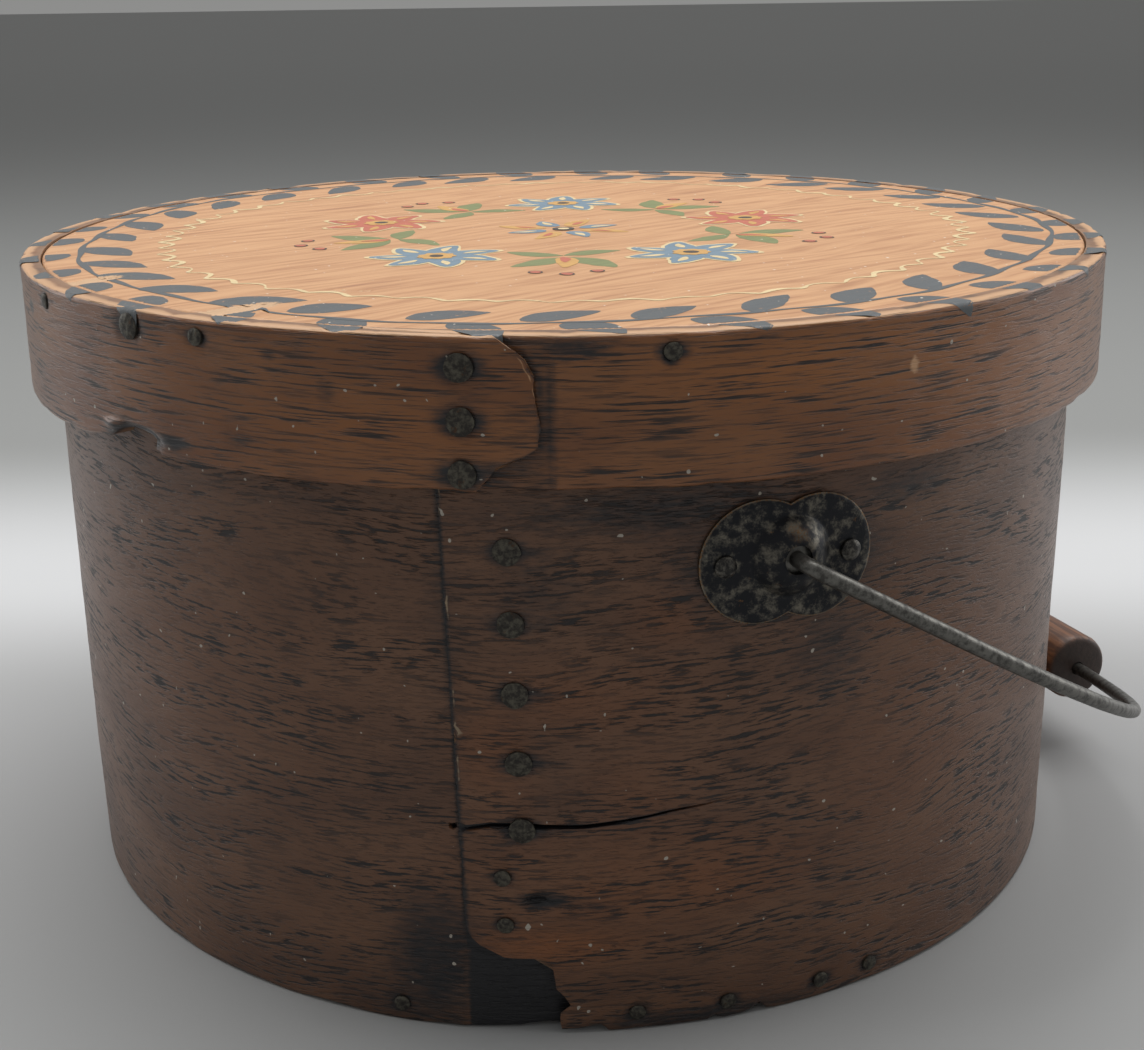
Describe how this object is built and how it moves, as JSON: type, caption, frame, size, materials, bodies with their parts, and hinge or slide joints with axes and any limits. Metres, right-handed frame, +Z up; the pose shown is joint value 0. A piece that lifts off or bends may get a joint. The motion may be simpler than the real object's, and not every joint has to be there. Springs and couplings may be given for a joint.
{
  "type": "bentwood box with lid and bail",
  "caption": "Round bentwood pantry box: nailed oak bands on wooden boards, a loose painted lid and a wire bail with a turned grip, held in riveted ears.",
  "frame": {"origin": "centre of the underside, on the axis of the round body", "axes": "+Z up along the body's axis; -Y is the front, where both bands lap; the front ear is 20 degrees from -Y towards +X"},
  "size_m": [0.3102, 0.3071, 0.165],
  "materials": {
    "body_oak": "dark oiled oak, worn satin",
    "rim_oak": "varnished oak, satin",
    "lid_pine": "varnished pine with painted ornament",
    "base_board": "bare aged wood",
    "nail_iron": "rusted dark iron",
    "ear_metal": "blackened sheet metal, worn",
    "bail_steel": "dull steel wire",
    "grip_wood": "turned wood, oiled"
  },
  "bodies": {
    "box": {"body_band": "body_oak", "bottom_board": "base_board", "lap_nails_large": "nail_iron", "lap_nails_small": "nail_iron", "bottom_nails": "nail_iron", "front_ear": "ear_metal", "rear_ear": "ear_metal", "ear_rivets": "ear_metal", "rivet_burrs": "ear_metal"},
    "lid": {"lid_band": "rim_oak", "lid_board": "lid_pine", "lid_lap_nails": "nail_iron", "lid_board_nails": "nail_iron", "lid_spike": "nail_iron"},
    "bail": {"bail_wire": "bail_steel"},
    "handle": {"grip": "grip_wood"}
  },
  "joints": [
    {"name": "lid_lift", "type": "slide", "parent": "box", "child": "lid", "axis": [0, 0, 1], "range_m": [0, 0.1]},
    {"name": "bail_swing", "type": "hinge", "parent": "box", "child": "bail", "pos_m": [0, 0, 0.1135], "axis": [0.342, -0.9397, 0], "range_deg": [0, 240.1]},
    {"name": "grip_spin", "type": "hinge", "parent": "bail", "child": "handle", "pos_m": [0.13987, 0.05091, 0.02727], "axis": [0.342, -0.9397, 0], "continuous": true}
  ]
}
